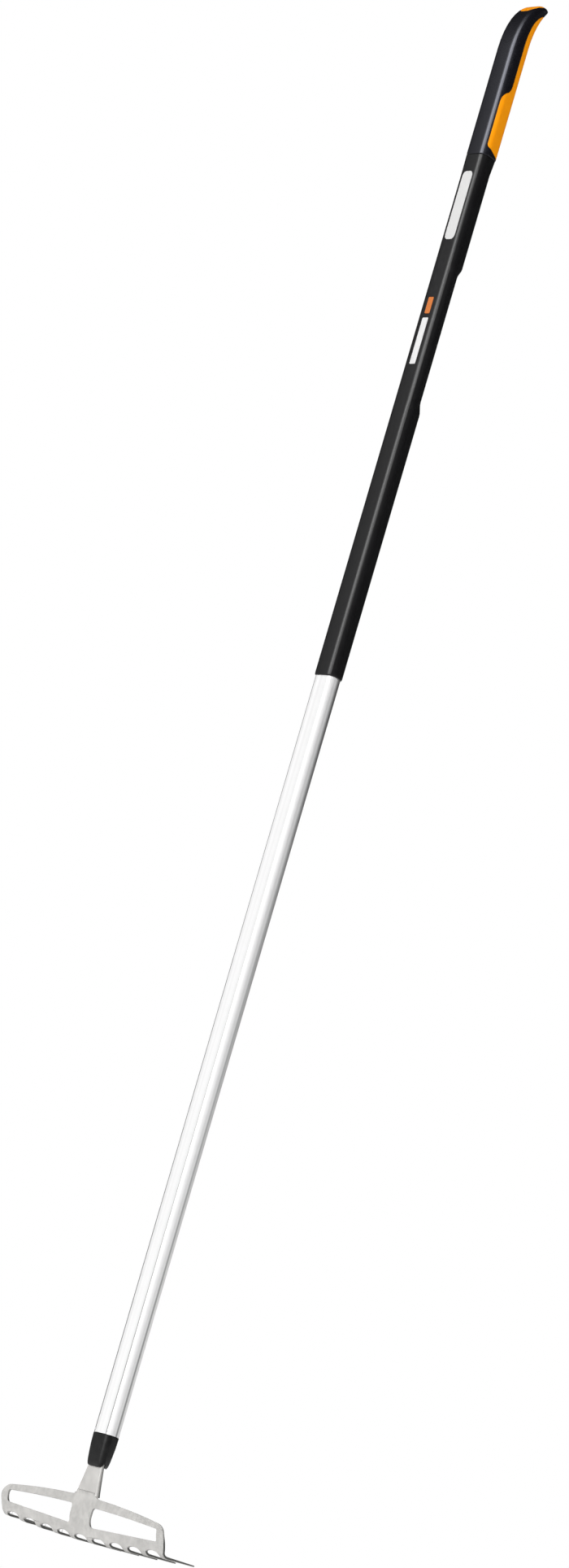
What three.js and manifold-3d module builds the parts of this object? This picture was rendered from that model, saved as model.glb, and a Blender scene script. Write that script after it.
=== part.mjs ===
// Bow rake: a stamped steel head on an aluminium shaft with a hooked hand grip.
// Millimetres. +Z runs up the shaft, X across the head, and the teeth point to +Y.
// The parts are drawn about the shaft's axis, and the outer group moves them onto the footprint's centre.

import * as THREE from 'three';
import { mergeVertices } from 'three/addons/utils/BufferGeometryUtils.js';
import Module from 'manifold-3d';

const wasm = await Module();
wasm.setup();

// Fits
const GAP = 0.3;
const EDGE = 0.5;

// Handle section: a rounded triangle with its flat side at -Y and two crests at +X and -X
const CREST_X = 10.7;
const CREST_Y = -3;
const CREST_RADIUS = 6.8;
const BELLY_Y = 5.05;
const BELLY_RADIUS = 11.8;
const FLAT_Y = CREST_Y - CREST_RADIUS;
const CREST_STEPS = 8;
const BELLY_STEPS = 14;

// Heights along the shaft
const FERRULE_BOTTOM = 79.8;
const FERRULE_TOP = 118;
const TUBE_TOP = 1290;
const SLEEVE_BOTTOM = 991.5;
const SLEEVE_TOP = 1608.5;
const SLEEVE_FLARE = 18;
const CORE_BOTTOM = 1175;
const CORE_TOP = 1730;
const HOOK_START = 1736;
const OVERALL_TOP = 1797;

// Insets from the sleeve's outer surface
const TUBE_INSET = 1.55;
const TUBE_WALL = 1.3;
const SPIGOT_INSET = TUBE_INSET + TUBE_WALL + GAP;
const CORE_INSET = 4.8;
const FERRULE_CORE_INSET = 5.4;
const FERRULE_PROUD = 0.3;

// Ferrule from its rounded bottom upwards: [rise, taper, inset]
const FERRULE_PROFILE = [
  [0, 1.9, 4],
  [0.4, 1.8, 2.8],
  [1.4, 1.7, 1.7],
  [3, 1.6, 0.8],
  [5.5, 1.45, 0.2],
  [9, 1.2, 0],
  [15, 0.8, 0],
  [26, 0.2, 0],
];

// Hand recess on the underside of the sleeve
const RELIEF_DEPTH = 3.4;
const RELIEF_BOTTOM = 1304.5;
const RELIEF_TOP = 1479;
const RELIEF_LOWER_SLOPE = 15;
const RELIEF_UPPER_SLOPE = 11;

// Rake head
const SHEET = 2.6;
const PLATE_FRONT = -3.6;
const TOOTH_COUNT = 10;
const TOOTH_PITCH = 36;
const TOOTH_WIDTH = 11;
const TOOTH_TIP_RADIUS = 3;
const TOOTH_TIP_Y = 50;
const LIP_TOP = 27;
const LIP_RADIUS = 20;
const LIP_LEAN = THREE.MathUtils.degToRad(22);
const LIP_STEPS = 4;
const BEND_RADIUS = 9;
const BEND_STEPS = 7;
const TOOTH_TIP_THICKNESS = 1.3;
const ARCH_TOP = 6.4;
const HEAD_HALF = ((TOOTH_COUNT - 1) * TOOTH_PITCH + TOOTH_WIDTH) / 2;
const ROOT_HALF = HEAD_HALF - 2;
const SHOULDER_Z = 21.5;
const BOW_RISE = 5.4;
const TOP_EDGE = 47.6;
const TOP_DROP = 8;
const TOP_DROP_AT = 150;
const SHEET_STATIONS = 24;
const SPINE_HALF = 20.5;
const SLOT_END = 153.5;
const SLOT_AT_SPINE = { low: 15.8, high: 37.2, round: 5 };
const SLOT_AT_END = { low: 20.1, high: 33.4, round: 3.6 };

// Neck and tang
const NECK_BOTTOM = 49.2;
const NECK_BOTTOM_WIDTH = 43.4;
const NECK_TOP = 82;
const NECK_TOP_WIDTH = 29;
const TANG_TOP = 165;
const TANG_WIDTH = 19;
const NECK_BEND = 2.8;
const NECK_FLANGE = [5, 3.6];
const NECK_LEAN = 0.02;
const TANG_TAPER = 0.5;
const TANG_START = NECK_TOP + (NECK_TOP_WIDTH - TANG_WIDTH) / TANG_TAPER;
const NECK_STATIONS = 4;

// Hooked grip
const GRIP_SWELL = 0.5;
const GRIP_BELLY = 1.6;
const GRIP_UNDER = BELLY_Y + BELLY_RADIUS + GRIP_SWELL + GRIP_BELLY;
const GRIP_FLAT = FLAT_Y - GRIP_SWELL;
const HOOK_STATIONS = 18;
const UNDER_HOOK_START = 1744;
const TIP_Y = 31;
const TIP_Z = OVERALL_TOP - 4.5;
const PAD_THICKNESS = 2.4;
const PAD_FRONT = -6.5;
const PAD_BOTTOM = 1618;
const PAD_TOP = 1684;
const STRIP_FRONT = 6.2;
const CROWN_THICKNESS = 1.6;
const CROWN_WIDTH = 26.5;
const CROWN_LENGTH = 23;
const CROWN_ROUND = 9;
const CROWN_Y = 10;
const CROWN_LEAN = 0.5;
const CROWN_DEPTH = 7.5;

// Inlays on the flat side of the sleeve
const NAME_BOTTOM = 1506.5;
const NAME_TOP = 1588;
const NAME_WIDTH = 18.6;
const NAME_THICKNESS = 1.2;
const STRIPE_THICKNESS = 0.5;
const WHITE_STRIPE = { low: 1358, high: 1413, width: 11 };
const ORANGE_STRIPE = { low: 1418, high: 1437.5, width: 9.5 };

// Rivets and pins
const PIN_RADIUS = 2;
const TUBE_RIVET_X = 11.2;
const TUBE_RIVET_Z = 121.6;
const TUBE_RIVET_RADIUS = 1;
const TUBE_RIVET_HEAD = 1.2;
const TUBE_RIVET_LENGTH = 4;
const TUBE_FACE = FLAT_Y + TUBE_INSET;
const TANG_RIVET_HEIGHTS = { lower: 102, upper: 146 };
const CORE_PIN_Z = 1230;

// --- geometry helpers ---

function signedArea(a, b, c) {
  return (b.x - a.x) * (c.y - a.y) - (b.y - a.y) * (c.x - a.x);
}

// Skin over a row of rings. With a contour the ends are capped; without one the last ring joins the first.
function loft(rings, contour = null) {
  const count = rings[0].length;
  const index = [];
  const bands = contour ? rings.length - 1 : rings.length;
  for (let band = 0; band < bands; band += 1) {
    const low = band * count;
    const high = ((band + 1) % rings.length) * count;
    for (let i = 0; i < count; i += 1) {
      const j = (i + 1) % count;
      index.push(low + i, low + j, high + j, low + i, high + j, high + i);
    }
  }
  if (contour) {
    const last = (rings.length - 1) * count;
    for (const face of THREE.ShapeUtils.triangulateShape(contour, [])) {
      const [a, b, c] = signedArea(...face.map((i) => contour[i])) > 0 ? face : [...face].reverse();
      index.push(c, b, a, last + a, last + b, last + c);
    }
  }
  const geometry = new THREE.BufferGeometry().setFromPoints(rings.flat());
  geometry.setIndex(index);
  return geometry;
}

function toSolid(geometry) {
  const bare = geometry.clone();
  bare.deleteAttribute('normal');
  bare.deleteAttribute('uv');
  const merged = mergeVertices(bare, 1e-4);
  const mesh = new wasm.Mesh({
    numProp: 3,
    vertProperties: Float32Array.from(merged.attributes.position.array),
    triVerts: Uint32Array.from(merged.index.array),
  });
  return new wasm.Manifold(mesh);
}

function toGeometry(solid) {
  const mesh = solid.getMesh();
  const geometry = new THREE.BufferGeometry();
  geometry.setAttribute('position', new THREE.BufferAttribute(Float32Array.from(mesh.vertProperties), 3));
  geometry.setIndex(Array.from(mesh.triVerts));
  return geometry;
}

function extrude(shape, depth) {
  return new THREE.ExtrudeGeometry(shape, { depth, bevelEnabled: false, curveSegments: 10 });
}

// A prism whose outline lies in XZ and which runs along Y
function prismAlongY(shape, low, high) {
  return toSolid(extrude(shape, high - low).rotateX(Math.PI / 2).translate(0, high, 0));
}

// A prism whose outline lies in YZ and which is centred on X
function prismAlongX(shape, halfWidth) {
  const turn = new THREE.Matrix4().set(0, 0, 1, -halfWidth, 1, 0, 0, 0, 0, 1, 0, 0, 0, 0, 0, 1);
  return toSolid(extrude(shape, 2 * halfWidth).applyMatrix4(turn));
}

function prismAlongZ(shape, low, high) {
  return toSolid(extrude(shape, high - low).translate(0, 0, low));
}

function rodAlongY(x, z, radius, low, high) {
  const rod = new THREE.CylinderGeometry(radius, radius, high - low, 20);
  return toSolid(rod.translate(x, (low + high) / 2, z));
}

function roundedBar(width, low, high, radius) {
  const shape = new THREE.Shape();
  const half = width / 2;
  shape.absarc(half - radius, low + radius, radius, -Math.PI / 2, 0, false);
  shape.absarc(half - radius, high - radius, radius, 0, Math.PI / 2, false);
  shape.absarc(-half + radius, high - radius, radius, Math.PI / 2, Math.PI, false);
  shape.absarc(-half + radius, low + radius, radius, Math.PI, 1.5 * Math.PI, false);
  return shape;
}

// --- handle sections ---

function arcPoints(x, y, radius, start, end, steps) {
  const points = [];
  for (let i = 0; i <= steps; i += 1) {
    const angle = start + ((end - start) * i) / steps;
    points.push(new THREE.Vector2(x + radius * Math.cos(angle), y + radius * Math.sin(angle)));
  }
  return points;
}

// Two crest arcs and a belly arc joined by straight tangents
function triangleSection({ crestX, crestY, crestRadius, bellyY, bellyRadius }) {
  const reach = Math.hypot(crestX, bellyY - crestY);
  const lean = Math.atan2(bellyY - crestY, -crestX);
  const side = lean - Math.acos((crestRadius - bellyRadius) / reach);
  return [
    ...arcPoints(crestX, crestY, crestRadius, -Math.PI / 2, side, CREST_STEPS),
    ...arcPoints(0, bellyY, bellyRadius, side, Math.PI - side, BELLY_STEPS),
    ...arcPoints(-crestX, crestY, crestRadius, Math.PI - side, 1.5 * Math.PI, CREST_STEPS),
  ];
}

function handleSection(inset, belly = 0) {
  return triangleSection({
    crestX: CREST_X,
    crestY: CREST_Y,
    crestRadius: CREST_RADIUS - inset,
    bellyY: BELLY_Y + belly,
    bellyRadius: BELLY_RADIUS - inset,
  });
}

function ringAt(section, z) {
  return section.map((point) => new THREE.Vector3(point.x, point.y, z));
}

// Solid through stations of [height, inset, belly]
function handleSolid(stations) {
  const rings = stations.map(([z, inset, belly]) => ringAt(handleSection(inset, belly), z));
  return toSolid(loft(rings, handleSection(stations[0][1], stations[0][2])));
}

// --- rake head ---

function bow(x) {
  return BOW_RISE * (x / HEAD_HALF) ** 2;
}

function topEdge(x) {
  return TOP_EDGE - TOP_DROP * (x / TOP_DROP_AT) ** 2;
}

// Where the teeth run level: the lip leans back from the plate, then turns through the tooth bend
const BEND_Y = PLATE_FRONT
  + LIP_RADIUS * (1 - Math.cos(LIP_LEAN))
  + (LIP_TOP - LIP_RADIUS * Math.sin(LIP_LEAN) - BEND_RADIUS * (1 - Math.sin(LIP_LEAN))) * Math.tan(LIP_LEAN)
  + BEND_RADIUS * Math.cos(LIP_LEAN);

// Side profile of the sheet: plate, leaning lip, tooth bend, and teeth that thin towards their tips
function sheetProfile() {
  const plateTop = NECK_BOTTOM + 5;
  const lip = [PLATE_FRONT + LIP_RADIUS, LIP_TOP];
  const bend = [BEND_Y, BEND_RADIUS];
  const turn = Math.PI + LIP_LEAN;
  const tipLow = (SHEET - TOOTH_TIP_THICKNESS) / 2;
  return [
    new THREE.Vector2(PLATE_FRONT, plateTop),
    ...arcPoints(...lip, LIP_RADIUS, Math.PI, turn, LIP_STEPS),
    ...arcPoints(...bend, BEND_RADIUS, turn, 1.5 * Math.PI, BEND_STEPS),
    new THREE.Vector2(TOOTH_TIP_Y, tipLow),
    new THREE.Vector2(TOOTH_TIP_Y, tipLow + TOOTH_TIP_THICKNESS),
    ...arcPoints(...bend, BEND_RADIUS - SHEET, 1.5 * Math.PI, turn, BEND_STEPS),
    ...arcPoints(...lip, LIP_RADIUS - SHEET, turn, Math.PI, LIP_STEPS),
    new THREE.Vector2(PLATE_FRONT + SHEET, plateTop),
  ];
}

function bentSheet() {
  const profile = sheetProfile();
  const rings = [];
  for (let i = 0; i <= SHEET_STATIONS; i += 1) {
    const x = HEAD_HALF * ((2 * i) / SHEET_STATIONS - 1);
    rings.push(profile.map((point) => new THREE.Vector3(x, point.x, point.y + bow(x))));
  }
  return toSolid(loft(rings, profile));
}

// One half of the plate's outline, from the bottom to the neck; side is 1 or -1
function plateHalf(side) {
  const corner = topEdge(TOP_DROP_AT);
  const fillet = 30;
  const middle = (TOP_DROP_AT + fillet) / 2;
  const slope = (-2 * TOP_DROP * fillet) / TOP_DROP_AT ** 2;
  const neckHalf = NECK_BOTTOM_WIDTH / 2;
  const shape = new THREE.Shape();
  shape.moveTo(0, -5);
  shape.lineTo(side * ROOT_HALF, -5);
  shape.lineTo(side * ROOT_HALF, BOW_RISE + 4);
  shape.quadraticCurveTo(side * HEAD_HALF, SHOULDER_Z - 8, side * HEAD_HALF, SHOULDER_Z);
  shape.bezierCurveTo(
    side * HEAD_HALF,
    SHOULDER_Z + 10,
    side * (HEAD_HALF - 6),
    corner - 1,
    side * TOP_DROP_AT,
    corner,
  );
  shape.quadraticCurveTo(
    side * middle,
    topEdge(fillet) + slope * (middle - fillet),
    side * fillet,
    topEdge(fillet),
  );
  shape.quadraticCurveTo(side * (neckHalf + 1), TOP_EDGE, side * neckHalf, NECK_BOTTOM);
  shape.lineTo(side * (neckHalf - NECK_BEND), NECK_BOTTOM);
  shape.lineTo(side * (neckHalf - NECK_BEND - 1), NECK_BOTTOM + 4);
  shape.lineTo(0, NECK_BOTTOM + 4);
  return shape;
}

// Long window between the spine and the side bar
function slotOutline(side) {
  const spine = SLOT_AT_SPINE;
  const end = SLOT_AT_END;
  const shape = new THREE.Shape();
  shape.moveTo(side * (SPINE_HALF + spine.round), spine.low);
  shape.lineTo(side * (SLOT_END - end.round), end.low);
  shape.quadraticCurveTo(side * SLOT_END, end.low, side * SLOT_END, end.low + end.round);
  shape.lineTo(side * (SLOT_END - 0.6), end.high - end.round);
  shape.quadraticCurveTo(side * (SLOT_END - 1), end.high, side * (SLOT_END - 1 - end.round), end.high);
  shape.quadraticCurveTo(side * 90, spine.high - 0.6, side * (SPINE_HALF + spine.round), spine.high);
  shape.quadraticCurveTo(side * SPINE_HALF, spine.high, side * SPINE_HALF, spine.high - spine.round);
  shape.lineTo(side * SPINE_HALF, spine.low + spine.round);
  shape.quadraticCurveTo(side * SPINE_HALF, spine.low, side * (SPINE_HALF + spine.round), spine.low);
  return shape;
}

// The arch between two tooth roots, seen from the front
function archOutline(centre) {
  const half = (TOOTH_PITCH - TOOTH_WIDTH) / 2;
  const spring = bow(centre) + SHEET;
  const shape = new THREE.Shape();
  shape.moveTo(centre + half, -5);
  shape.lineTo(centre + half, spring);
  shape.absellipse(centre, spring, half, ARCH_TOP - SHEET, 0, Math.PI, false);
  shape.lineTo(centre - half, -5);
  return shape;
}

// The gap between two teeth, seen from below: it widens outwards and rounds the tips on both sides
function gapOutline(centre) {
  const half = (TOOTH_PITCH - TOOTH_WIDTH) / 2;
  const tip = TOOTH_PITCH / 2;
  const tipCentre = TOOTH_TIP_Y - TOOTH_TIP_RADIUS;
  const shape = new THREE.Shape();
  shape.moveTo(centre - half, BEND_Y);
  shape.lineTo(centre + half, BEND_Y);
  shape.absarc(centre + tip, tipCentre, TOOTH_TIP_RADIUS, Math.PI, Math.PI / 2, true);
  shape.lineTo(centre + tip, TOOTH_TIP_Y + 5);
  shape.lineTo(centre - tip, TOOTH_TIP_Y + 5);
  shape.absarc(centre - tip, tipCentre, TOOTH_TIP_RADIUS, Math.PI / 2, 0, true);
  return shape;
}

function neckWidth(z) {
  if (z <= NECK_TOP) {
    const part = (z - NECK_BOTTOM) / (NECK_TOP - NECK_BOTTOM);
    return THREE.MathUtils.lerp(NECK_BOTTOM_WIDTH, NECK_TOP_WIDTH, part ** 0.9);
  }
  return Math.max(TANG_WIDTH, NECK_TOP_WIDTH - (z - NECK_TOP) * TANG_TAPER);
}

// Channel section with its web at the front and both flanges folded back; room grows it on every side
function neckSection(z, room) {
  const half = neckWidth(z) / 2 + room;
  const front = PLATE_FRONT + NECK_LEAN * (z - NECK_BOTTOM) - room;
  const flange = THREE.MathUtils.mapLinear(Math.min(z, NECK_TOP), NECK_BOTTOM, NECK_TOP, ...NECK_FLANGE);
  const back = front + flange + 2 * room;
  const thick = SHEET + 2 * room;
  return [
    new THREE.Vector2(-half, back),
    ...arcPoints(-half + NECK_BEND, front + NECK_BEND, NECK_BEND, Math.PI, 1.5 * Math.PI, 4),
    ...arcPoints(half - NECK_BEND, front + NECK_BEND, NECK_BEND, 1.5 * Math.PI, 2 * Math.PI, 4),
    new THREE.Vector2(half, back),
    new THREE.Vector2(half - thick, back),
    new THREE.Vector2(half - thick, front + thick),
    new THREE.Vector2(-half + thick, front + thick),
    new THREE.Vector2(-half + thick, back),
  ];
}

function neckSolid(top, room) {
  const bottom = NECK_BOTTOM;
  const heights = [];
  for (let i = 0; i <= NECK_STATIONS; i += 1) {
    heights.push(THREE.MathUtils.lerp(bottom, NECK_TOP, i / NECK_STATIONS));
  }
  heights.push(TANG_START, top);
  const rings = heights.map((z) => ringAt(neckSection(z, room), z));
  return toSolid(loft(rings, neckSection(bottom, room)));
}

function makeRakeHead() {
  let head = bentSheet();
  head = head.intersect(prismAlongY(plateHalf(1), -10, 60).add(prismAlongY(plateHalf(-1), -10, 60)));
  for (const side of [-1, 1]) {
    head = head.subtract(prismAlongY(slotOutline(side), -10, 10));
  }
  for (let i = 0; i <= TOOTH_COUNT; i += 1) {
    const centre = (i - TOOTH_COUNT / 2) * TOOTH_PITCH;
    head = head.subtract(prismAlongZ(gapOutline(centre), -5, BEND_RADIUS));
    if (i > 0 && i < TOOTH_COUNT) {
      head = head.subtract(prismAlongY(archOutline(centre), -10, 60));
    }
  }
  head = head.add(neckSolid(TANG_TOP, 0));
  for (const z of Object.values(TANG_RIVET_HEIGHTS)) {
    head = head.subtract(rodAlongY(0, z, PIN_RADIUS + GAP, -10, 10));
  }
  return toGeometry(head);
}

// --- ferrule and what it holds ---

function ferruleRing(z, taper, inset) {
  const section = triangleSection({
    crestX: CREST_X - 0.6 * taper,
    crestY: CREST_Y + 0.8 * taper,
    crestRadius: CREST_RADIUS - TUBE_INSET + FERRULE_PROUD - 0.5 * taper - inset,
    bellyY: BELLY_Y - 0.8 * taper,
    bellyRadius: BELLY_RADIUS - TUBE_INSET + FERRULE_PROUD - 0.9 * taper - inset,
  });
  return ringAt(section, z);
}

function ferruleBlank() {
  const rings = [];
  for (const [rise, taper, inset] of FERRULE_PROFILE) {
    rings.push(ferruleRing(FERRULE_BOTTOM + rise, taper, inset));
  }
  rings.push(ferruleRing(FERRULE_TOP - EDGE, 0, 0), ferruleRing(FERRULE_TOP, 0, EDGE));
  return toSolid(loft(rings, handleSection(TUBE_INSET)));
}

// Everything behind the neck is cut 2 mm shorter, and each side is notched for its flange
function ferruleMouth() {
  const rear = new THREE.Shape();
  rear.moveTo(3, FERRULE_BOTTOM - 5);
  rear.lineTo(20, FERRULE_BOTTOM - 5);
  rear.lineTo(20, FERRULE_BOTTOM + 2);
  rear.lineTo(5, FERRULE_BOTTOM + 2);
  rear.quadraticCurveTo(3, FERRULE_BOTTOM + 2, 2.6, FERRULE_BOTTOM + 6);
  rear.lineTo(-1.5, FERRULE_BOTTOM + 6);
  rear.quadraticCurveTo(-2.6, FERRULE_BOTTOM + 1, -3, FERRULE_BOTTOM - 5);
  return prismAlongX(rear, 30);
}

function makeFerrule() {
  const core = handleSolid([
    [FERRULE_BOTTOM - 5, FERRULE_CORE_INSET - GAP],
    [FERRULE_TOP + 5, FERRULE_CORE_INSET - GAP],
  ]);
  const neck = neckSolid(FERRULE_TOP + 5, GAP);
  return toGeometry(ferruleBlank().subtract(core).subtract(neck).subtract(ferruleMouth()));
}

function makeSpigotCore() {
  let core = handleSolid([
    [FERRULE_BOTTOM + 5, FERRULE_CORE_INSET],
    [FERRULE_TOP + GAP, FERRULE_CORE_INSET],
    [FERRULE_TOP + GAP, SPIGOT_INSET],
    [182, SPIGOT_INSET],
    [185, SPIGOT_INSET + 1.5],
  ]);
  core = core.subtract(neckSolid(TANG_TOP + GAP, GAP));
  for (const z of Object.values(TANG_RIVET_HEIGHTS)) {
    core = core.subtract(rodAlongY(0, z, PIN_RADIUS + GAP, -30, 30));
  }
  for (const side of [-1, 1]) {
    const hole = [TUBE_RIVET_RADIUS + GAP, TUBE_FACE - 2, TUBE_FACE + TUBE_RIVET_LENGTH + GAP];
    core = core.subtract(rodAlongY(side * TUBE_RIVET_X, TUBE_RIVET_Z, ...hole));
  }
  return toGeometry(core);
}

// Pin across the handle at one height, as long as the section is deep there
function makeCrossPin(z, inset) {
  const front = FLAT_Y + inset;
  const back = BELLY_Y + BELLY_RADIUS - inset;
  return toGeometry(rodAlongY(0, z, PIN_RADIUS, front, back));
}

// Blind rivet with a domed head, standing on the tube's flat side
function makeTubeRivet(side) {
  const head = TUBE_RIVET_HEAD;
  const shank = TUBE_RIVET_RADIUS;
  const profile = [
    new THREE.Vector2(0, -TUBE_RIVET_LENGTH),
    new THREE.Vector2(shank, -TUBE_RIVET_LENGTH),
    new THREE.Vector2(shank, 0),
    new THREE.Vector2(head, 0),
    new THREE.Vector2(head * 0.86, 0.35),
    new THREE.Vector2(head * 0.5, 0.6),
    new THREE.Vector2(0, 0.7),
  ];
  const rivet = new THREE.LatheGeometry(profile, 20).rotateX(Math.PI);
  return rivet.translate(side * TUBE_RIVET_X, TUBE_FACE - 0.05, TUBE_RIVET_Z);
}

// --- shaft and grip ---

function makeShaftTube() {
  const bottom = FERRULE_TOP + GAP;
  const inner = TUBE_INSET + TUBE_WALL;
  const stations = [[bottom, TUBE_INSET], [TUBE_TOP, TUBE_INSET], [TUBE_TOP, inner], [bottom, inner]];
  let tube = toSolid(loft(stations.map(([z, inset]) => ringAt(handleSection(inset), z))));
  for (const side of [-1, 1]) {
    const hole = [TUBE_RIVET_RADIUS + 0.2, TUBE_FACE - 2, 0];
    tube = tube.subtract(rodAlongY(side * TUBE_RIVET_X, TUBE_RIVET_Z, ...hole));
  }
  tube = tube.subtract(rodAlongY(0, CORE_PIN_Z, PIN_RADIUS + GAP, -30, 30));
  return toGeometry(tube);
}

function makeGripCore() {
  const core = handleSolid([
    [CORE_BOTTOM, SPIGOT_INSET + 1],
    [CORE_BOTTOM + 3, SPIGOT_INSET],
    [TUBE_TOP - 5, SPIGOT_INSET],
    [TUBE_TOP - 1, CORE_INSET],
    [CORE_TOP, CORE_INSET],
  ]);
  return toGeometry(core.subtract(rodAlongY(0, CORE_PIN_Z, PIN_RADIUS + GAP, -30, 30)));
}

function sleeveRings() {
  const outer = [
    [SLEEVE_BOTTOM, 0.9, 0],
    [SLEEVE_BOTTOM + 0.4, 0.4, 0],
    [SLEEVE_BOTTOM + 1.5, 0.1, 0],
    [SLEEVE_BOTTOM + 4, 0, 0],
    [RELIEF_BOTTOM, 0, 0],
    [RELIEF_BOTTOM + RELIEF_LOWER_SLOPE * 0.2, 0, -RELIEF_DEPTH * 0.1],
    [RELIEF_BOTTOM + RELIEF_LOWER_SLOPE * 0.8, 0, -RELIEF_DEPTH * 0.9],
    [RELIEF_BOTTOM + RELIEF_LOWER_SLOPE, 0, -RELIEF_DEPTH],
    [RELIEF_TOP - RELIEF_UPPER_SLOPE, 0, -RELIEF_DEPTH],
    [RELIEF_TOP - RELIEF_UPPER_SLOPE * 0.8, 0, -RELIEF_DEPTH * 0.9],
    [RELIEF_TOP - RELIEF_UPPER_SLOPE * 0.2, 0, -RELIEF_DEPTH * 0.1],
    [RELIEF_TOP, 0, 0],
    [SLEEVE_TOP - SLEEVE_FLARE, 0, 0],
    [SLEEVE_TOP - EDGE, -0.7 * GRIP_SWELL, 0.7 * GRIP_BELLY],
    [SLEEVE_TOP, EDGE - GRIP_SWELL, 0.7 * GRIP_BELLY],
  ];
  const step = TUBE_TOP + 2 * GAP;
  const inner = [
    [SLEEVE_TOP, CORE_INSET - GAP, 0],
    [step, CORE_INSET - GAP, 0],
    [step, TUBE_INSET - GAP, 0],
    [SLEEVE_BOTTOM, TUBE_INSET - GAP, 0],
  ];
  return [...outer, ...inner].map(([z, inset, belly]) => ringAt(handleSection(inset, belly), z));
}

function inlayPocket(shape, depth) {
  return prismAlongY(shape, FLAT_Y - 5, FLAT_Y + depth);
}

function stripeOutline({ low, high, width }, room) {
  return roundedBar(width + 2 * room, low - room, high + room, 1.5 + room);
}

function nameOutline(room) {
  return roundedBar(NAME_WIDTH + 2 * room, NAME_BOTTOM - room, NAME_TOP + room, 6 + room);
}

function makeGripSleeve() {
  let sleeve = toSolid(loft(sleeveRings()));
  sleeve = sleeve.subtract(inlayPocket(nameOutline(GAP), NAME_THICKNESS + GAP));
  for (const stripe of [WHITE_STRIPE, ORANGE_STRIPE]) {
    sleeve = sleeve.subtract(inlayPocket(stripeOutline(stripe, GAP), STRIPE_THICKNESS + GAP));
  }
  return toGeometry(sleeve);
}

function makeNamePlate() {
  return toGeometry(prismAlongY(nameOutline(0), FLAT_Y, FLAT_Y + NAME_THICKNESS));
}

function makeStripe(stripe) {
  return toGeometry(prismAlongY(stripeOutline(stripe, 0), FLAT_Y, FLAT_Y + STRIPE_THICKNESS));
}

// Rails of the hook in the YZ plane: the flat front side and the underside meet at the tip
const frontRail = new THREE.CubicBezierCurve(
  new THREE.Vector2(GRIP_FLAT, HOOK_START),
  new THREE.Vector2(GRIP_FLAT, HOOK_START + 46),
  new THREE.Vector2(10, OVERALL_TOP + 8),
  new THREE.Vector2(TIP_Y, TIP_Z),
);
const underRail = new THREE.CubicBezierCurve(
  new THREE.Vector2(GRIP_UNDER, UNDER_HOOK_START),
  new THREE.Vector2(GRIP_UNDER, UNDER_HOOK_START + 20),
  new THREE.Vector2(22.5, TIP_Z - 12),
  new THREE.Vector2(TIP_Y, TIP_Z),
);

function gripSection(inset) {
  return handleSection(inset - GRIP_SWELL, GRIP_BELLY);
}

// Section stretched between the two rails and narrowed towards the tip
function hookRing(part, inset) {
  const front = frontRail.getPoint(part);
  const under = underRail.getPoint(part);
  const width = Math.sqrt(1 - part ** 3);
  return gripSection(inset).map((point) => {
    const depth = (point.y - GRIP_FLAT) / (GRIP_UNDER - GRIP_FLAT);
    const place = front.clone().lerp(under, depth);
    return new THREE.Vector3(point.x * width, place.x, place.y);
  });
}

function gripSolid(bottom, inset) {
  const rings = [];
  for (let i = 0; i <= HOOK_STATIONS; i += 1) {
    rings.push(hookRing(0.985 * Math.sin((Math.PI * i) / (2 * HOOK_STATIONS)), inset));
  }
  const rim = inset === 0 ? [ringAt(gripSection(EDGE), bottom)] : [];
  const straight = ringAt(gripSection(inset), bottom + (inset === 0 ? EDGE : 0));
  return toSolid(loft([...rim, straight, ...rings], gripSection(inset)));
}

// Side view of the soft insert: a pad that reaches the crests and a strip that runs on to the tip
function padOutline(room) {
  const outside = 60;
  const front = PAD_FRONT - room;
  const strip = STRIP_FRONT - room;
  const bottom = PAD_BOTTOM - room;
  const top = PAD_TOP + room;
  const shape = new THREE.Shape();
  shape.moveTo(outside, bottom - 22);
  shape.lineTo(front + 2.5, bottom);
  shape.quadraticCurveTo(front, bottom + 1, front, bottom + 4);
  shape.lineTo(front, top - 12);
  shape.quadraticCurveTo(front, top - 4, -1, top);
  shape.quadraticCurveTo(strip, top + 3, strip, top + 12);
  shape.lineTo(strip, UNDER_HOOK_START);
  shape.bezierCurveTo(strip, UNDER_HOOK_START + 20, 10, TIP_Z - 14 + room, 23, TIP_Z - 7 + room);
  shape.lineTo(outside, TIP_Z - 12 + room);
  return shape;
}

// Prism of a rounded badge, square to the crown of the hook
function crownPrism(room) {
  const half = CROWN_LENGTH / 2 + room;
  const badge = roundedBar(CROWN_WIDTH + 2 * room, -half, half, CROWN_ROUND + room);
  const block = extrude(badge, 15).translate(0, 0, -CROWN_DEPTH);
  return toSolid(block.rotateX(CROWN_LEAN).translate(0, CROWN_Y, OVERALL_TOP - 3));
}

function makeTopGrip() {
  const bottom = SLEEVE_TOP + GAP;
  const socket = handleSolid([[bottom - 5, CORE_INSET - GAP], [CORE_TOP + GAP, CORE_INSET - GAP]]);
  const padRoom = prismAlongX(padOutline(GAP), 40).subtract(gripSolid(bottom - 5, PAD_THICKNESS + GAP));
  const crownRoom = crownPrism(GAP).subtract(gripSolid(bottom - 5, CROWN_THICKNESS + GAP));
  return toGeometry(gripSolid(bottom, 0).subtract(socket).subtract(padRoom).subtract(crownRoom));
}

function makeOrangePad() {
  const bottom = SLEEVE_TOP + GAP;
  const skin = gripSolid(bottom, 0).subtract(gripSolid(bottom - 5, PAD_THICKNESS));
  return toGeometry(skin.intersect(prismAlongX(padOutline(0), 40)));
}

function makeCrownInlay() {
  const bottom = SLEEVE_TOP + GAP;
  const skin = gripSolid(bottom, 0).subtract(gripSolid(bottom - 5, CROWN_THICKNESS));
  return toGeometry(skin.intersect(crownPrism(0)));
}

// --- assembly ---

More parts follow.
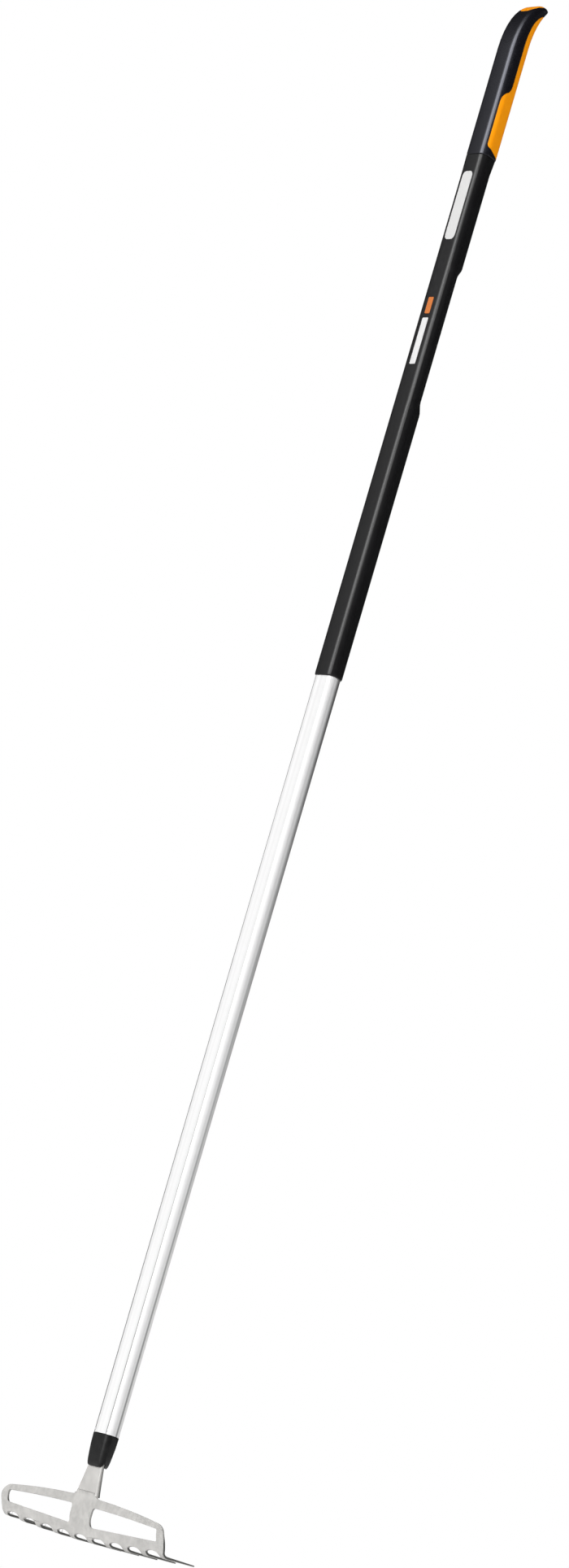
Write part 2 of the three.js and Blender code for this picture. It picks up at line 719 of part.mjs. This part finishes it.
function paint(color, roughness, metalness) {
  return new THREE.MeshStandardMaterial({ color, roughness, metalness });
}

const rake = new THREE.Group();
rake.position.y = -(TOOTH_TIP_Y + GRIP_FLAT) / 2;

function addPart(name, geometry, material) {
  geometry.computeVertexNormals();
  const mesh = new THREE.Mesh(geometry, material);
  mesh.name = name;
  rake.add(mesh);
}

addPart('rake_head', makeRakeHead(), paint(0xcfcdc8, 0.45, 0.6));
addPart('ferrule', makeFerrule(), paint(0x1c1c1d, 0.5, 0));
addPart('spigot_core', makeSpigotCore(), paint(0x2a2a2b, 0.6, 0));
for (const [place, z] of Object.entries(TANG_RIVET_HEIGHTS)) {
  const inset = place === 'lower' ? FERRULE_CORE_INSET : SPIGOT_INSET;
  addPart(`tang_rivet_${place}`, makeCrossPin(z, inset), paint(0xb8b8ba, 0.35, 1));
}
addPart('tube_rivet_left', makeTubeRivet(-1), paint(0xa6a6a8, 0.4, 1));
addPart('tube_rivet_right', makeTubeRivet(1), paint(0xa6a6a8, 0.4, 1));
addPart('shaft_tube', makeShaftTube(), paint(0xe6e6e6, 0.35, 0.8));
addPart('grip_core', makeGripCore(), paint(0x2a2a2b, 0.6, 0));
addPart('core_pin', makeCrossPin(CORE_PIN_Z, TUBE_INSET), paint(0xb8b8ba, 0.35, 1));
addPart('grip_sleeve', makeGripSleeve(), paint(0x1b1b1d, 0.5, 0));
addPart('name_plate', makeNamePlate(), paint(0xf0f0ee, 0.35, 0));
addPart('mark_stripe_white', makeStripe(WHITE_STRIPE), paint(0xf2f2f2, 0.5, 0));
addPart('mark_stripe_orange', makeStripe(ORANGE_STRIPE), paint(0xf07818, 0.5, 0));
addPart('top_grip', makeTopGrip(), paint(0x19191b, 0.5, 0));
addPart('orange_pad', makeOrangePad(), paint(0xf59a18, 0.55, 0));
addPart('crown_inlay', makeCrownInlay(), paint(0xe07818, 0.55, 0));

export default rake;
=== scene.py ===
# Bow rake: looks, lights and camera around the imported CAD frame. Metres, +Z up the shaft.
import math

import bmesh
import bpy
from mathutils import Matrix, Vector


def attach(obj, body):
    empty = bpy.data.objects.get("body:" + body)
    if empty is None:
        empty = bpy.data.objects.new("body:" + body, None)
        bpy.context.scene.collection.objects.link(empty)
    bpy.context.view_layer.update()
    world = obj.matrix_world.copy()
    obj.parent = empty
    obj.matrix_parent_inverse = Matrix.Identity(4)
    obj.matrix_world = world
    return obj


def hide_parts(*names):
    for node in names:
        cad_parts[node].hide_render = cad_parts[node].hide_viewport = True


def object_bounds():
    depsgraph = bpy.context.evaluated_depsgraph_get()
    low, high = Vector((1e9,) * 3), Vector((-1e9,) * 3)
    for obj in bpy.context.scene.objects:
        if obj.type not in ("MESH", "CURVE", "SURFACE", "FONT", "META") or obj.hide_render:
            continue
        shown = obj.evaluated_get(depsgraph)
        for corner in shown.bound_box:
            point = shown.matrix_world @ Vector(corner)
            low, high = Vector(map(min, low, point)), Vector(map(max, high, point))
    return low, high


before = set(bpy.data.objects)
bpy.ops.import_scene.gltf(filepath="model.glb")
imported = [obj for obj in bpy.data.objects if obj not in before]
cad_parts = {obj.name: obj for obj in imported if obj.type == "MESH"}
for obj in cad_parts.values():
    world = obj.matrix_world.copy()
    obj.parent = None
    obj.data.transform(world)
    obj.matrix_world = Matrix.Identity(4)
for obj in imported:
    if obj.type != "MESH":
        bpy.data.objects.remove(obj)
cad_low, cad_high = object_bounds()
MM = 0.001

# The hooked grip's flat side is the part's front, and stands this far in front of the shaft's axis
GRIP_FLAT = 10.3 * MM
AXIS_Y = cad_low[1] + GRIP_FLAT

# Angles in degrees, lens and sensor in millimetres, the rest in metres
CAMERA = {
    "azimuth": 56.75,
    "distance": 7.0,
    "height": -0.06,
    "pan": 0.1065,
    "tilt": 7.511,
    "roll": 16.35,
    "lens": 146.03527,
    "sensor": 36.0,
    "nearest": 0.1,
    "farthest": 200,
}


def make_camera():
    turn = math.radians(CAMERA["azimuth"])
    heading = turn + math.radians(CAMERA["pan"])
    tilt = math.radians(CAMERA["tilt"])
    roll = math.radians(CAMERA["roll"])
    away = CAMERA["distance"]
    forward = Vector((
        -math.sin(heading) * math.cos(tilt),
        math.cos(heading) * math.cos(tilt),
        math.sin(tilt),
    ))
    right = forward.cross(Vector((0, 0, 1))).normalized()
    up = right.cross(forward)
    side = right * math.cos(roll) + up * math.sin(roll)
    top = up * math.cos(roll) - right * math.sin(roll)
    data = bpy.data.cameras.new("camera")
    data.sensor_fit = "AUTO"
    data.sensor_width = CAMERA["sensor"]
    data.lens = CAMERA["lens"]
    data.clip_start = CAMERA["nearest"]
    data.clip_end = CAMERA["farthest"]
    camera = bpy.data.objects.new("camera", data)
    camera.matrix_world = Matrix((
        (side.x, top.x, -forward.x, away * math.sin(turn)),
        (side.y, top.y, -forward.y, AXIS_Y - away * math.cos(turn)),
        (side.z, top.z, -forward.z, CAMERA["height"]),
        (0, 0, 0, 1),
    ))
    bpy.context.scene.collection.objects.link(camera)
    bpy.context.scene.camera = camera


# --- node helpers ---

class Nodes:
    """A material's or world's node tree, with short calls for making and joining nodes."""

    def __init__(self, owner):
        owner.use_nodes = True
        self.tree = owner.node_tree
        self.tree.nodes.clear()

    def add(self, kind, **values):
        node = self.tree.nodes.new(kind)
        for name, value in values.items():
            setattr(node, name, value)
        return node

    def join(self, out, into):
        self.tree.links.new(out, into)


def maths(nodes, operation, first, second=None):
    """One calculation on a node's output; second is a plain number or another output."""
    node = nodes.add("ShaderNodeMath", operation=operation)
    nodes.join(first, node.inputs[0])
    if isinstance(second, float):
        node.inputs[1].default_value = second
    elif second is not None:
        nodes.join(second, node.inputs[1])
    return node.outputs[0]


def along(nodes, kind, axis):
    """One axis of the position (kind "Object") or the face direction (kind "Normal")."""
    place = nodes.add("ShaderNodeTexCoord")
    parts = nodes.add("ShaderNodeSeparateXYZ")
    nodes.join(place.outputs[kind], parts.inputs["Vector"])
    return parts.outputs[axis]


def noise(nodes, stretch, scale, detail):
    place = nodes.add("ShaderNodeTexCoord")
    mapping = nodes.add("ShaderNodeMapping")
    mapping.inputs["Scale"].default_value = stretch
    nodes.join(place.outputs["Object"], mapping.inputs["Vector"])
    texture = nodes.add("ShaderNodeTexNoise")
    texture.inputs["Scale"].default_value = scale
    texture.inputs["Detail"].default_value = detail
    texture.inputs["Roughness"].default_value = 0.55
    nodes.join(mapping.outputs["Vector"], texture.inputs["Vector"])
    return texture.outputs["Fac"]


def spread(nodes, value, low, high, start=0.3, end=0.7):
    """Runs from low to high as the value goes from start to end, and stays there beyond them."""
    remap = nodes.add("ShaderNodeMapRange")
    remap.inputs["From Min"].default_value = start
    remap.inputs["From Max"].default_value = end
    remap.inputs["To Min"].default_value = low
    remap.inputs["To Max"].default_value = high
    nodes.join(value, remap.inputs["Value"])
    return remap.outputs["Result"]


def tint(nodes, factor, first, second):
    """Colour that runs from first to second; either may be a colour or another node's output."""
    mix = nodes.add("ShaderNodeMix", data_type="RGBA")
    nodes.join(factor, mix.inputs["Factor"])
    for colour, into in ((first, mix.inputs["A"]), (second, mix.inputs["B"])):
        if isinstance(colour, tuple):
            into.default_value = (*colour, 1)
        else:
            nodes.join(colour, into)
    return mix.outputs["Result"]


def scaled(colour, by):
    return tuple(min(1.0, c * by) for c in colour)


def bump(nodes, height, strength, distance):
    node = nodes.add("ShaderNodeBump")
    node.inputs["Strength"].default_value = strength
    node.inputs["Distance"].default_value = distance
    nodes.join(height, node.inputs["Height"])
    return node.outputs["Normal"]


# --- masks for the painted shade and painted reflections on the head and the tube ---

# The plate's back lies this far in front of the shaft's axis, and the painted shade changes over the blend
# each side
PLATE_BACK = AXIS_Y - 1.0 * MM
PLATE_BLEND = 1.5 * MM

# The tube's flat side turns into its rounded corners 10.7 mm from its middle, just inside the painted
# reflection lines
REFLECTION_LINE_AT = 11.5 * MM
REFLECTION_LINE_CORE = 0.4 * MM
REFLECTION_LINE_EDGE = 1.5 * MM
REFLECTION_LINE_FADE = (0.2, 0.8)
# Painted shade on the tube's back: where it starts in y, and how it rises up the shaft
TUBE_SHADED_BACK = (AXIS_Y + 4 * MM, AXIS_Y + 9 * MM)
TUBE_SHADE_RISE = (0.25, 0.95)


def painted_shade_sides(nodes):
    """Painted shade: 1 on faces behind the plate that look along X, the teeth's and neck's sides; a quarter
    in front.
    """
    facing = maths(nodes, "ABSOLUTE", along(nodes, "Normal", "X"))
    start = PLATE_BACK - PLATE_BLEND
    end = PLATE_BACK + PLATE_BLEND
    behind = spread(nodes, along(nodes, "Object", "Y"), 0.25, 1, start, end)
    return maths(nodes, "MULTIPLY", spread(nodes, facing, 0, 1, 0.4, 0.8), behind)


def painted_reflection_lines(nodes):
    """Painted reflection lines: 1 on thin lines up the tube, front and back, on each side of its middle;
    they fade upwards.
    """
    off_middle = maths(nodes, "ABSOLUTE", along(nodes, "Object", "X"))
    gap = maths(nodes, "ABSOLUTE", maths(nodes, "SUBTRACT", off_middle, REFLECTION_LINE_AT))
    low_down = spread(nodes, along(nodes, "Object", "Z"), 1, 0.1, *REFLECTION_LINE_FADE)
    return maths(nodes, "MULTIPLY", spread(nodes, gap, 1, 0, REFLECTION_LINE_CORE, REFLECTION_LINE_EDGE), low_down)


def painted_shade_and_reflection(nodes):
    """Painted reflection at 0.9 on the tube's faces that look towards -X, and painted shade on its back
    rising to 1 up the shaft.
    """
    behind = spread(nodes, along(nodes, "Object", "Y"), 0, 1, *TUBE_SHADED_BACK)
    high_up = spread(nodes, along(nodes, "Object", "Z"), 0, 1, *TUBE_SHADE_RISE)
    left = spread(nodes, along(nodes, "Normal", "X"), 0.9, 0, -0.3, 0.0)
    return maths(nodes, "MAXIMUM", maths(nodes, "MULTIPLY", behind, high_up), left)


# --- materials ---

def rubbed_edges(nodes, tone, wear, amount):
    """The tone, with the colour wear in patches along the piece's edges."""
    shape = nodes.add("ShaderNodeNewGeometry")
    edge = spread(nodes, shape.outputs["Pointiness"], 0, amount, 0.52, 0.60)
    patches = spread(nodes, noise(nodes, (1, 1, 1), 160.0, 4.0), 0, 1, 0.4, 0.6)
    return tint(nodes, maths(nodes, "MULTIPLY", edge, patches), tone, wear)


def surface(name, colour, roughness, grain, metallic=0.0, specular=0.5, gleam=(1, 1, 1), vary=0.12,
            mottle=40.0, grain_depth=0.05 * MM, grain_strength=0.4, rough_vary=0.08, stretch=(1, 1, 1),
            wear=None, wear_amount=0.5, painted_light=()):
    """Mottled and finely grained material; the last argument lists masks of painted shade and painted
    reflections, and the colours laid over the rest there.
    """
    material = bpy.data.materials.new(name)
    nodes = Nodes(material)
    out = nodes.add("ShaderNodeOutputMaterial")
    shader = nodes.add("ShaderNodeBsdfPrincipled")
    shader.inputs["Metallic"].default_value = metallic
    shader.inputs["Specular IOR Level"].default_value = specular
    shader.inputs["Specular Tint"].default_value = (*gleam, 1)
    broad = noise(nodes, stretch, mottle, 4.0)
    fine = noise(nodes, stretch, grain, 2.0)
    tone = tint(nodes, spread(nodes, broad, 0, 1), scaled(colour, 1 - vary), scaled(colour, 1 + vary))
    if wear is not None:
        tone = rubbed_edges(nodes, tone, wear, wear_amount)
    for mask, colour_there in painted_light:
        tone = tint(nodes, mask(nodes), tone, colour_there)
    rough = spread(nodes, fine, roughness - rough_vary, roughness + rough_vary)
    nodes.join(tone, shader.inputs["Base Color"])
    nodes.join(rough, shader.inputs["Roughness"])
    nodes.join(bump(nodes, fine, grain_strength, grain_depth), shader.inputs["Normal"])
    nodes.join(shader.outputs["BSDF"], out.inputs["Surface"])
    return material


# The sides of the teeth and the neck behind the plate are painted nearly black (0.08 against 0.50) as
# painted shade.
COATED_STEEL = surface(
    "coated_steel", (0.50, 0.49, 0.473), 0.45, grain=1400, mottle=45,
    wear=(0.26, 0.26, 0.25), wear_amount=0.8, painted_light=((painted_shade_sides, (0.08, 0.08, 0.075)),))
FERRULE_BLACK = surface(
    "ferrule_black", (0.006, 0.006, 0.006), 0.45, grain=1600, grain_depth=0.08 * MM,
    vary=0.5, specular=0.3, mottle=160, wear=(0.03, 0.03, 0.03))
CORE_BLACK = surface("core_black", (0.03, 0.03, 0.032), 0.6, grain=1200)
RIVET_STEEL = surface("rivet_steel", (0.66, 0.66, 0.67), 0.4, grain=1800, metallic=0.4)
# The tube's dark lines (0.34) and its dark -X faces are painted reflections, and its darker back towards
# the top (0.17) is painted shade.
TUBE_ALUMINIUM = surface(
    "tube_aluminium", (0.92, 0.92, 0.92), 0.38, grain=500, metallic=0.25, vary=0.10,
    stretch=(1, 1, 0.004), grain_strength=0.2, rough_vary=0.04, mottle=150,
    painted_light=((painted_reflection_lines, (0.34, 0.34, 0.34)), (painted_shade_and_reflection, (0.17, 0.17, 0.17))))
SLEEVE_BLACK = surface(
    "sleeve_black", (0.006, 0.006, 0.0065), 0.36, grain=1500, grain_depth=0.06 * MM,
    wear=(0.03, 0.03, 0.032))
GRIP_BLACK = surface(
    "grip_black", (0.005, 0.005, 0.007), 0.3, grain=1500, specular=0.85, gleam=(0.86, 0.88, 1.0),
    wear=(0.03, 0.03, 0.034))
PLATE_WHITE = surface(
    "plate_white", (0.66, 0.66, 0.655), 0.32, grain=1800, vary=0.02, grain_strength=0.15)
PRINT_WHITE = surface(
    "print_white", (0.72, 0.72, 0.72), 0.5, grain=1800, vary=0.03, grain_strength=0.2)
PRINT_ORANGE = surface(
    "print_orange", (0.60, 0.17, 0.03), 0.5, grain=1800, vary=0.06, grain_strength=0.2)
ORANGE_SOFT = surface(
    "orange_soft", (1.0, 0.33, 0.003), 0.5, grain=1300, grain_depth=0.08 * MM,
    vary=0.05, specular=0.3, mottle=90)
FLOOR_PALE = surface("floor_pale", (0.9, 0.9, 0.9), 0.8, grain=30, vary=0.01, grain_strength=0.05)

LOOKS = {
    "rake_head": COATED_STEEL,
    "ferrule": FERRULE_BLACK,
    "spigot_core": CORE_BLACK,
    "tang_rivet_lower": RIVET_STEEL,
    "tang_rivet_upper": RIVET_STEEL,
    "tube_rivet_left": RIVET_STEEL,
    "tube_rivet_right": RIVET_STEEL,
    "shaft_tube": TUBE_ALUMINIUM,
    "grip_core": CORE_BLACK,
    "core_pin": RIVET_STEEL,
    "grip_sleeve": SLEEVE_BLACK,
    "name_plate": PLATE_WHITE,
    "mark_stripe_white": PRINT_WHITE,
    "mark_stripe_orange": PRINT_ORANGE,
    "top_grip": GRIP_BLACK,
    "orange_pad": ORANGE_SOFT,
    "crown_inlay": ORANGE_SOFT,
}

# --- pieces refined from the CAD shapes ---

# A name for the piece's material, which nothing reads, and the rounding of the piece's edges in millimetres
REFINED = {
    "rake_head": ("coated_steel", 0.6),
    "ferrule": ("ferrule_plastic", 0.35),
    "shaft_tube": ("tube_aluminium", 0.25),
    "grip_sleeve": ("sleeve_plastic", 0.2),
    "name_plate": ("white_plastic", 0.25),
    "mark_stripe_white": ("white_print", 0.1),
    "mark_stripe_orange": ("orange_print", 0.1),
    "top_grip": ("grip_plastic", 0.25),
    "orange_pad": ("orange_soft", 0.3),
    "crown_inlay": ("orange_soft", 0.25),
}

SAME_POINT = 0.01 * MM
FLAT_ANGLE = math.radians(0.4)
ROUNDED_ANGLE = math.radians(35)
CREASE_ANGLE = math.radians(40)

# The handle's flat side swells by CROWN at its middle, and less towards its edges and its back
CROWNED = {"grip_sleeve", "name_plate", "mark_stripe_white", "mark_stripe_orange", "top_grip"}
CROWN = 0.5 * MM
CROWN_HALF = 17.5 * MM
CROWN_DEPTH = 6.5 * MM
CROWN_STRIPS = 18
HOOK_START = 1.736
HOOK_FADE = 0.03


def clamped(value):
    return max(0.0, min(1.0, value))


def crown(shape, flat):
    """Swell the handle's flat side, which looks along -Y at y = flat, as a moulding does."""
    for i in range(1, CROWN_STRIPS):
        x = CROWN_HALF * (2 * i / CROWN_STRIPS - 1)
        parts = shape.verts[:] + shape.edges[:] + shape.faces[:]
        bmesh.ops.bisect_plane(shape, geom=parts, plane_co=(x, 0, 0), plane_no=(1, 0, 0), dist=1e-6)
    for vert in shape.verts:
        across = clamped(1 - (vert.co.x / CROWN_HALF) ** 2)
        inwards = clamped(1 - (vert.co.y - flat) / CROWN_DEPTH)
        below_hook = clamped(1 - (vert.co.z - HOOK_START) / HOOK_FADE)
        vert.co.y -= CROWN * across * inwards * below_hook


def refined(node, round_mm):
    """A copy of a CAD node with merged flats, rounded edges and smooth shading."""
    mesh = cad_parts[node].data.copy()
    mesh.name = node + "_detail"
    piece = bpy.data.objects.new(node + "_detail", mesh)
    bpy.context.scene.collection.objects.link(piece)
    shape = bmesh.new()
    shape.from_mesh(mesh)
    bmesh.ops.remove_doubles(shape, verts=shape.verts, dist=SAME_POINT)
    bmesh.ops.dissolve_limit(shape, angle_limit=FLAT_ANGLE, verts=shape.verts, edges=shape.edges)
    sharp = [e for e in shape.edges if e.is_manifold and e.calc_face_angle() > ROUNDED_ANGLE]
    bmesh.ops.bevel(shape, geom=sharp, offset=round_mm * MM, segments=2, profile=0.5, affect="EDGES",
                    clamp_overlap=False)
    if node in CROWNED:
        crown(shape, cad_low[1])
    bmesh.ops.recalc_face_normals(shape, faces=shape.faces)
    shape.to_mesh(mesh)
    shape.free()
    mesh.shade_smooth()
    mesh.set_sharp_from_angle(angle=CREASE_ANGLE)
    mesh.materials.clear()
    mesh.materials.append(LOOKS[node])
    weighted = piece.modifiers.new("weighted", "WEIGHTED_NORMAL")
    weighted.keep_sharp = True
    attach(piece, "root")
    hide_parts(node)


for node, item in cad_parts.items():
    item.data.materials.clear()
    item.data.materials.append(LOOKS[node])
for node, (slot, round_mm) in REFINED.items():
    refined(node, round_mm)


# --- stage ---

FLOOR_Z = -0.12
FLOOR_SIZE = 120
WHITE = (1, 1, 1, 1)

# Azimuth, elevation, cosines where the glow starts and is full, and its levels
WIDE_GLOW = (-3, 0, 0.42, 0.95, 0.02, 0.85)
KEY_GLOW = (-3, 9, 0.85, 1.0, 0.0, 5.5)


def towards(azimuth, elevation):
    """Direction from the tool. Azimuth 0 is -Y and 90 is +X, and elevation is above the horizon."""
    turn = math.radians(azimuth)
    rise = math.radians(elevation)
    return Vector((math.sin(turn) * math.cos(rise), -math.cos(turn) * math.cos(rise), math.sin(rise)))


def make_floor():
    bpy.ops.mesh.primitive_plane_add(size=FLOOR_SIZE, location=(0, 0, FLOOR_Z))
    floor = bpy.context.object
    floor.name = "floor"
    floor.data.materials.append(FLOOR_PALE)


def glow(nodes, direction, azimuth, elevation, start, end, low, high):
    """Light level that rises from low to high as a direction turns towards one azimuth and elevation."""
    facing = nodes.add("ShaderNodeVectorMath", operation="DOT_PRODUCT")
    facing.inputs[1].default_value = towards(azimuth, elevation)
    nodes.join(direction, facing.inputs[0])
    level = nodes.add("ShaderNodeMapRange", interpolation_type="SMOOTHSTEP")
    level.inputs["From Min"].default_value = start
    level.inputs["From Max"].default_value = end
    level.inputs["To Min"].default_value = low
    level.inputs["To Max"].default_value = high
    nodes.join(facing.outputs["Value"], level.inputs["Value"])
    return level.outputs["Result"]


def make_world():
    """White to the camera; as a light it is bright in front of the flat side and dim behind the tool."""
    world = bpy.data.worlds.new("studio")
    nodes = Nodes(world)
    seen = nodes.add("ShaderNodeBackground")
    seen.inputs["Color"].default_value = WHITE
    direction = nodes.add("ShaderNodeTexCoord").outputs["Generated"]
    level = maths(nodes, "ADD", glow(nodes, direction, *WIDE_GLOW), glow(nodes, direction, *KEY_GLOW))
    light = nodes.add("ShaderNodeBackground")
    light.inputs["Color"].default_value = WHITE
    nodes.join(level, light.inputs["Strength"])
    path = nodes.add("ShaderNodeLightPath")
    mix = nodes.add("ShaderNodeMixShader")
    out = nodes.add("ShaderNodeOutputWorld")
    nodes.join(path.outputs["Is Camera Ray"], mix.inputs["Fac"])
    nodes.join(light.outputs["Background"], mix.inputs[1])
    nodes.join(seen.outputs["Background"], mix.inputs[2])
    nodes.join(mix.outputs["Shader"], out.inputs["Surface"])
    bpy.context.scene.world = world


def fill_light(name, azimuth, elevation, radiance, distance=3.0, size=(2.0, 2.0), aim_z=0.9, beam=180):
    """Area light at an angle round the shaft, by its radiance. It shows in no reflection."""
    data = bpy.data.lights.new(name, "AREA")
    data.shape = "RECTANGLE"
    data.size, data.size_y = size
    data.energy = radiance * math.pi * size[0] * size[1]
    data.spread = math.radians(beam)
    light = bpy.data.objects.new(name, data)
    back = towards(azimuth, elevation)
    light.location = Vector((0, AXIS_Y, aim_z)) + back * distance
    light.rotation_mode = "QUATERNION"
    light.rotation_quaternion = (-back).to_track_quat("-Z", "Y")
    light.visible_camera = False
    light.visible_glossy = False
    bpy.context.scene.collection.objects.link(light)


make_floor()
make_world()
fill_light("front_fill", azimuth=15, elevation=15, radiance=0.8)
fill_light("side_fill", azimuth=82, elevation=20, radiance=5.0)
fill_light("low_fill", azimuth=135, elevation=0, radiance=0.5, distance=0.8, size=(0.4, 0.6), aim_z=0.3,
           beam=80)
fill_light("back_fill", azimuth=225, elevation=25, radiance=5.0)
make_camera()
bpy.context.scene.view_settings.view_transform = "Standard"
